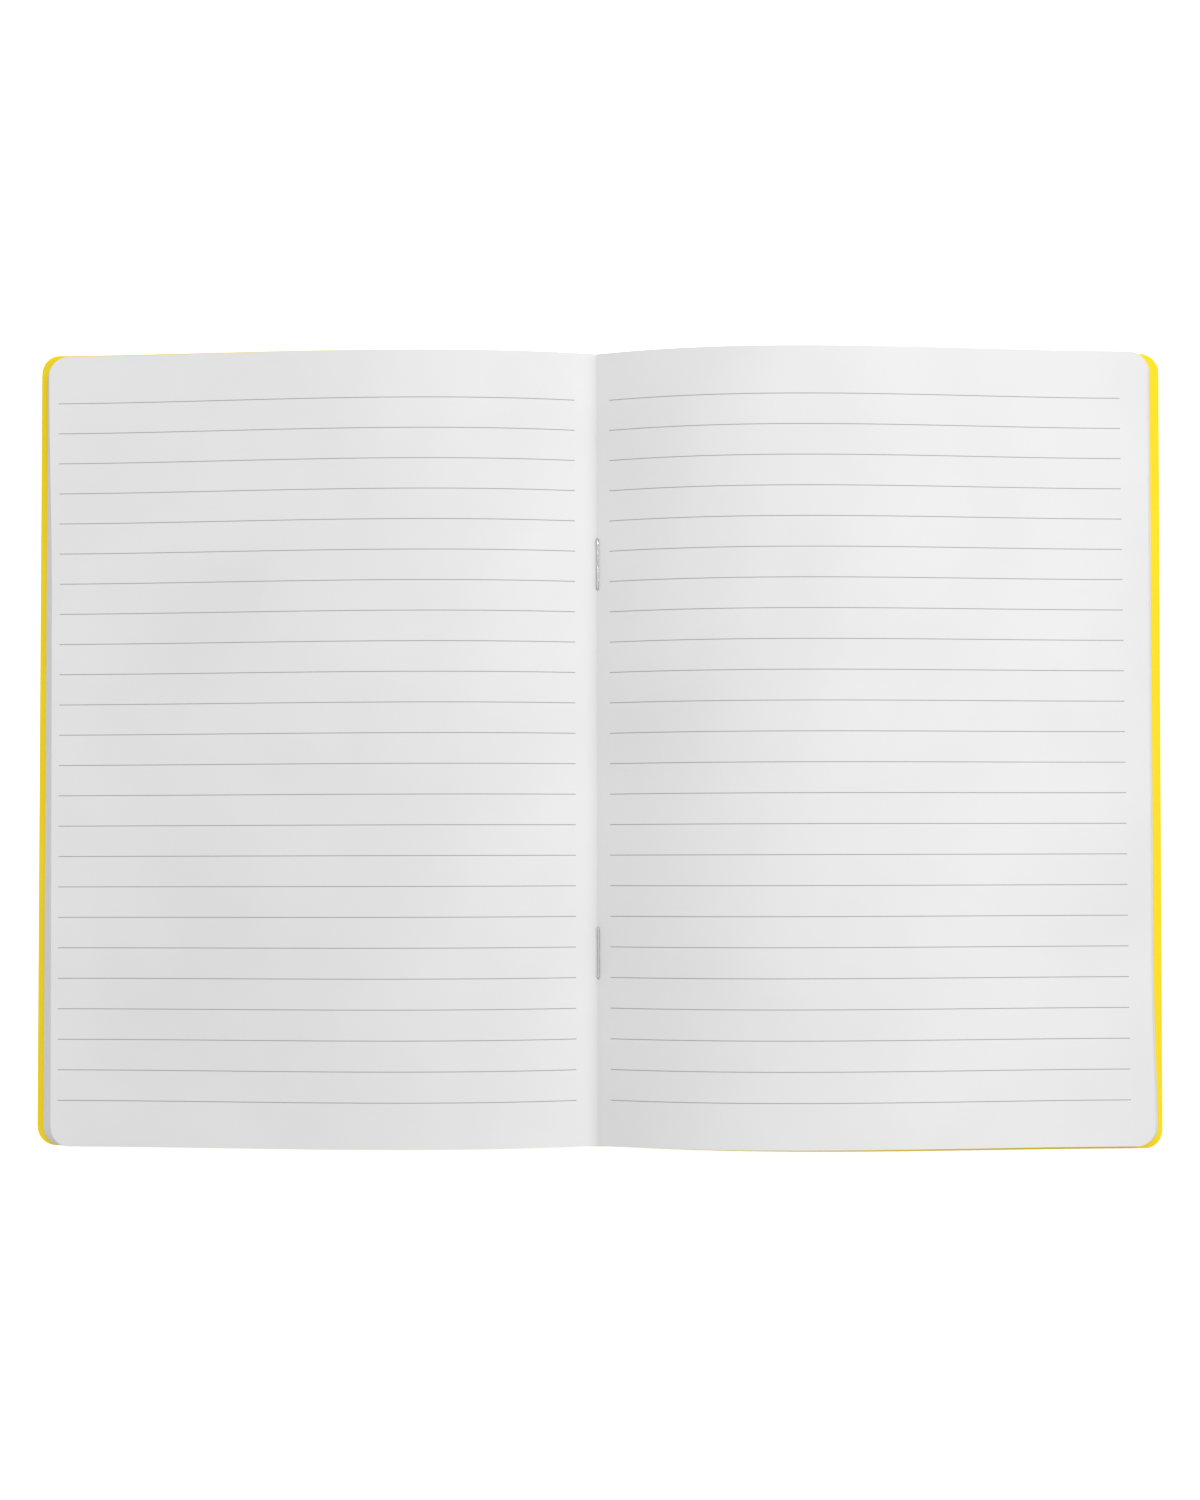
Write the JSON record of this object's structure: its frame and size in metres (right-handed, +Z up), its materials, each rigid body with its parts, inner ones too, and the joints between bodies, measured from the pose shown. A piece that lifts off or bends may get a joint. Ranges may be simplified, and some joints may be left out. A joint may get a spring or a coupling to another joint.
{
  "type": "saddle-stitched notebook",
  "caption": "Open saddle-stitched notebook: rounded yellow card cover, nested ruled white sheets and wire staples in the centre fold.",
  "frame": {"origin": "on the table under the centre fold, midway between head and foot", "axes": "+X across the spread to the right page's fore-edge, +Y along the fold to the head of the pages, +Z up off the table"},
  "size_m": [0.297, 0.2108, 0.0163],
  "materials": {
    "paper": "uncoated white writing paper with fine grey ruled lines",
    "card": "matt yellow cover card",
    "wire": "bright drawn steel wire"
  },
  "bodies": {
    "root": {"sheet_fold_01": "paper", "sheet_fold_02": "paper", "sheet_fold_03": "paper", "sheet_fold_04": "paper", "sheet_fold_05": "paper", "sheet_fold_06": "paper", "sheet_fold_07": "paper", "sheet_fold_08": "paper", "sheet_fold_09": "paper", "sheet_fold_10": "paper", "sheet_fold_11": "paper", "sheet_fold_12": "paper", "sheet_fold_13": "paper", "sheet_fold_14": "paper", "sheet_fold_15": "paper", "sheet_fold_16": "paper", "cover_spine": "card", "upper_staple": "wire", "lower_staple": "wire"},
    "left_leaf_01": {"left_leaf_01": "paper"},
    "left_leaf_02": {"left_leaf_02": "paper"},
    "left_leaf_03": {"left_leaf_03": "paper"},
    "left_leaf_04": {"left_leaf_04": "paper"},
    "left_leaf_05": {"left_leaf_05": "paper"},
    "left_leaf_06": {"left_leaf_06": "paper"},
    "left_leaf_07": {"left_leaf_07": "paper"},
    "left_leaf_08": {"left_leaf_08": "paper"},
    "left_leaf_09": {"left_leaf_09": "paper"},
    "left_leaf_10": {"left_leaf_10": "paper"},
    "left_leaf_11": {"left_leaf_11": "paper"},
    "left_leaf_12": {"left_leaf_12": "paper"},
    "left_leaf_13": {"left_leaf_13": "paper"},
    "left_leaf_14": {"left_leaf_14": "paper"},
    "left_leaf_15": {"left_leaf_15": "paper"},
    "left_leaf_16": {"left_leaf_16": "paper"},
    "front_cover": {"front_cover": "card"},
    "right_leaf_01": {"right_leaf_01": "paper"},
    "right_leaf_02": {"right_leaf_02": "paper"},
    "right_leaf_03": {"right_leaf_03": "paper"},
    "right_leaf_04": {"right_leaf_04": "paper"},
    "right_leaf_05": {"right_leaf_05": "paper"},
    "right_leaf_06": {"right_leaf_06": "paper"},
    "right_leaf_07": {"right_leaf_07": "paper"},
    "right_leaf_08": {"right_leaf_08": "paper"},
    "right_leaf_09": {"right_leaf_09": "paper"},
    "right_leaf_10": {"right_leaf_10": "paper"},
    "right_leaf_11": {"right_leaf_11": "paper"},
    "right_leaf_12": {"right_leaf_12": "paper"},
    "right_leaf_13": {"right_leaf_13": "paper"},
    "right_leaf_14": {"right_leaf_14": "paper"},
    "right_leaf_15": {"right_leaf_15": "paper"},
    "right_leaf_16": {"right_leaf_16": "paper"},
    "back_cover": {"back_cover": "card"}
  },
  "joints": [
    {"name": "left_leaves_hinge", "type": "hinge", "parent": "root", "child": "left_leaf_01", "pos_m": [-0.0035, 0, 0.00108], "axis": [0, 1, 0], "range_deg": [0, 60]},
    {"name": "left_leaf_02_hinge", "type": "hinge", "parent": "root", "child": "left_leaf_02", "pos_m": [-0.0033, 0, 0.00128], "axis": [0, 1, 0], "range_deg": [0, 60]},
    {"name": "left_leaf_03_hinge", "type": "hinge", "parent": "root", "child": "left_leaf_03", "pos_m": [-0.0031, 0, 0.00147], "axis": [0, 1, 0], "range_deg": [0, 60]},
    {"name": "left_leaf_04_hinge", "type": "hinge", "parent": "root", "child": "left_leaf_04", "pos_m": [-0.0029, 0, 0.00167], "axis": [0, 1, 0], "range_deg": [0, 60]},
    {"name": "left_leaf_05_hinge", "type": "hinge", "parent": "root", "child": "left_leaf_05", "pos_m": [-0.0027, 0, 0.00187], "axis": [0, 1, 0], "range_deg": [0, 60]},
    {"name": "left_leaf_06_hinge", "type": "hinge", "parent": "root", "child": "left_leaf_06", "pos_m": [-0.0025, 0, 0.00206], "axis": [0, 1, 0], "range_deg": [0, 60]},
    {"name": "left_leaf_07_hinge", "type": "hinge", "parent": "root", "child": "left_leaf_07", "pos_m": [-0.0023, 0, 0.00226], "axis": [0, 1, 0], "range_deg": [0, 60]},
    {"name": "left_leaf_08_hinge", "type": "hinge", "parent": "root", "child": "left_leaf_08", "pos_m": [-0.0021, 0, 0.00246], "axis": [0, 1, 0], "range_deg": [0, 60]},
    {"name": "left_leaf_09_hinge", "type": "hinge", "parent": "root", "child": "left_leaf_09", "pos_m": [-0.0019, 0, 0.00266], "axis": [0, 1, 0], "range_deg": [0, 60]},
    {"name": "left_leaf_10_hinge", "type": "hinge", "parent": "root", "child": "left_leaf_10", "pos_m": [-0.0017, 0, 0.00285], "axis": [0, 1, 0], "range_deg": [0, 60]},
    {"name": "left_leaf_11_hinge", "type": "hinge", "parent": "root", "child": "left_leaf_11", "pos_m": [-0.0015, 0, 0.00305], "axis": [0, 1, 0], "range_deg": [0, 60]},
    {"name": "left_leaf_12_hinge", "type": "hinge", "parent": "root", "child": "left_leaf_12", "pos_m": [-0.0013, 0, 0.00325], "axis": [0, 1, 0], "range_deg": [0, 60]},
    {"name": "left_leaf_13_hinge", "type": "hinge", "parent": "root", "child": "left_leaf_13", "pos_m": [-0.0011, 0, 0.00344], "axis": [0, 1, 0], "range_deg": [0, 60]},
    {"name": "left_leaf_14_hinge", "type": "hinge", "parent": "root", "child": "left_leaf_14", "pos_m": [-0.0009, 0, 0.00364], "axis": [0, 1, 0], "range_deg": [0, 60]},
    {"name": "left_leaf_15_hinge", "type": "hinge", "parent": "root", "child": "left_leaf_15", "pos_m": [-0.0005, 0, 0.00404], "axis": [0, 1, 0], "range_deg": [0, 60]},
    {"name": "left_page_turn_hinge", "type": "hinge", "parent": "left_leaf_15", "child": "left_leaf_16", "pos_m": [-0.0005, 0, 0.00404], "axis": [0, -1, 0], "range_deg": [-60, 0]},
    {"name": "front_cover_hinge", "type": "hinge", "parent": "left_leaf_01", "child": "front_cover", "pos_m": [-0.00375, 0, 0.00076], "axis": [0, 1, 0], "range_deg": [-90, 0]},
    {"name": "right_leaves_hinge", "type": "hinge", "parent": "root", "child": "right_leaf_01", "pos_m": [0.0035, 0, 0.00108], "axis": [0, -1, 0], "range_deg": [0, 60]},
    {"name": "right_leaf_02_hinge", "type": "hinge", "parent": "root", "child": "right_leaf_02", "pos_m": [0.0033, 0, 0.00128], "axis": [0, -1, 0], "range_deg": [0, 60]},
    {"name": "right_leaf_03_hinge", "type": "hinge", "parent": "root", "child": "right_leaf_03", "pos_m": [0.0031, 0, 0.00147], "axis": [0, -1, 0], "range_deg": [0, 60]},
    {"name": "right_leaf_04_hinge", "type": "hinge", "parent": "root", "child": "right_leaf_04", "pos_m": [0.0029, 0, 0.00167], "axis": [0, -1, 0], "range_deg": [0, 60]},
    {"name": "right_leaf_05_hinge", "type": "hinge", "parent": "root", "child": "right_leaf_05", "pos_m": [0.0027, 0, 0.00187], "axis": [0, -1, 0], "range_deg": [0, 60]},
    {"name": "right_leaf_06_hinge", "type": "hinge", "parent": "root", "child": "right_leaf_06", "pos_m": [0.0025, 0, 0.00206], "axis": [0, -1, 0], "range_deg": [0, 60]},
    {"name": "right_leaf_07_hinge", "type": "hinge", "parent": "root", "child": "right_leaf_07", "pos_m": [0.0023, 0, 0.00226], "axis": [0, -1, 0], "range_deg": [0, 60]},
    {"name": "right_leaf_08_hinge", "type": "hinge", "parent": "root", "child": "right_leaf_08", "pos_m": [0.0021, 0, 0.00246], "axis": [0, -1, 0], "range_deg": [0, 60]},
    {"name": "right_leaf_09_hinge", "type": "hinge", "parent": "root", "child": "right_leaf_09", "pos_m": [0.0019, 0, 0.00266], "axis": [0, -1, 0], "range_deg": [0, 60]},
    {"name": "right_leaf_10_hinge", "type": "hinge", "parent": "root", "child": "right_leaf_10", "pos_m": [0.0017, 0, 0.00285], "axis": [0, -1, 0], "range_deg": [0, 60]},
    {"name": "right_leaf_11_hinge", "type": "hinge", "parent": "root", "child": "right_leaf_11", "pos_m": [0.0015, 0, 0.00305], "axis": [0, -1, 0], "range_deg": [0, 60]},
    {"name": "right_leaf_12_hinge", "type": "hinge", "parent": "root", "child": "right_leaf_12", "pos_m": [0.0013, 0, 0.00325], "axis": [0, -1, 0], "range_deg": [0, 60]},
    {"name": "right_leaf_13_hinge", "type": "hinge", "parent": "root", "child": "right_leaf_13", "pos_m": [0.0011, 0, 0.00344], "axis": [0, -1, 0], "range_deg": [0, 60]},
    {"name": "right_leaf_14_hinge", "type": "hinge", "parent": "root", "child": "right_leaf_14", "pos_m": [0.0009, 0, 0.00364], "axis": [0, -1, 0], "range_deg": [0, 60]},
    {"name": "right_leaf_15_hinge", "type": "hinge", "parent": "root", "child": "right_leaf_15", "pos_m": [0.0005, 0, 0.00404], "axis": [0, -1, 0], "range_deg": [0, 60]},
    {"name": "right_page_turn_hinge", "type": "hinge", "parent": "right_leaf_15", "child": "right_leaf_16", "pos_m": [0.0005, 0, 0.00404], "axis": [0, 1, 0], "range_deg": [-60, 0]},
    {"name": "back_cover_hinge", "type": "hinge", "parent": "right_leaf_01", "child": "back_cover", "pos_m": [0.00375, 0, 0.00076], "axis": [0, -1, 0], "range_deg": [-90, 0]}
  ],
  "couplings": [
    {"joint": "left_leaf_02_hinge", "follows": "left_leaves_hinge", "ratio": 1},
    {"joint": "left_leaf_03_hinge", "follows": "left_leaves_hinge", "ratio": 1},
    {"joint": "left_leaf_04_hinge", "follows": "left_leaves_hinge", "ratio": 1},
    {"joint": "left_leaf_05_hinge", "follows": "left_leaves_hinge", "ratio": 1},
    {"joint": "left_leaf_06_hinge", "follows": "left_leaves_hinge", "ratio": 1},
    {"joint": "left_leaf_07_hinge", "follows": "left_leaves_hinge", "ratio": 1},
    {"joint": "left_leaf_08_hinge", "follows": "left_leaves_hinge", "ratio": 1},
    {"joint": "left_leaf_09_hinge", "follows": "left_leaves_hinge", "ratio": 1},
    {"joint": "left_leaf_10_hinge", "follows": "left_leaves_hinge", "ratio": 1},
    {"joint": "left_leaf_11_hinge", "follows": "left_leaves_hinge", "ratio": 1},
    {"joint": "left_leaf_12_hinge", "follows": "left_leaves_hinge", "ratio": 1},
    {"joint": "left_leaf_13_hinge", "follows": "left_leaves_hinge", "ratio": 1},
    {"joint": "left_leaf_14_hinge", "follows": "left_leaves_hinge", "ratio": 1},
    {"joint": "left_leaf_15_hinge", "follows": "left_leaves_hinge", "ratio": 1},
    {"joint": "right_leaf_02_hinge", "follows": "right_leaves_hinge", "ratio": 1},
    {"joint": "right_leaf_03_hinge", "follows": "right_leaves_hinge", "ratio": 1},
    {"joint": "right_leaf_04_hinge", "follows": "right_leaves_hinge", "ratio": 1},
    {"joint": "right_leaf_05_hinge", "follows": "right_leaves_hinge", "ratio": 1},
    {"joint": "right_leaf_06_hinge", "follows": "right_leaves_hinge", "ratio": 1},
    {"joint": "right_leaf_07_hinge", "follows": "right_leaves_hinge", "ratio": 1},
    {"joint": "right_leaf_08_hinge", "follows": "right_leaves_hinge", "ratio": 1},
    {"joint": "right_leaf_09_hinge", "follows": "right_leaves_hinge", "ratio": 1},
    {"joint": "right_leaf_10_hinge", "follows": "right_leaves_hinge", "ratio": 1},
    {"joint": "right_leaf_11_hinge", "follows": "right_leaves_hinge", "ratio": 1},
    {"joint": "right_leaf_12_hinge", "follows": "right_leaves_hinge", "ratio": 1},
    {"joint": "right_leaf_13_hinge", "follows": "right_leaves_hinge", "ratio": 1},
    {"joint": "right_leaf_14_hinge", "follows": "right_leaves_hinge", "ratio": 1},
    {"joint": "right_leaf_15_hinge", "follows": "right_leaves_hinge", "ratio": 1}
  ]
}
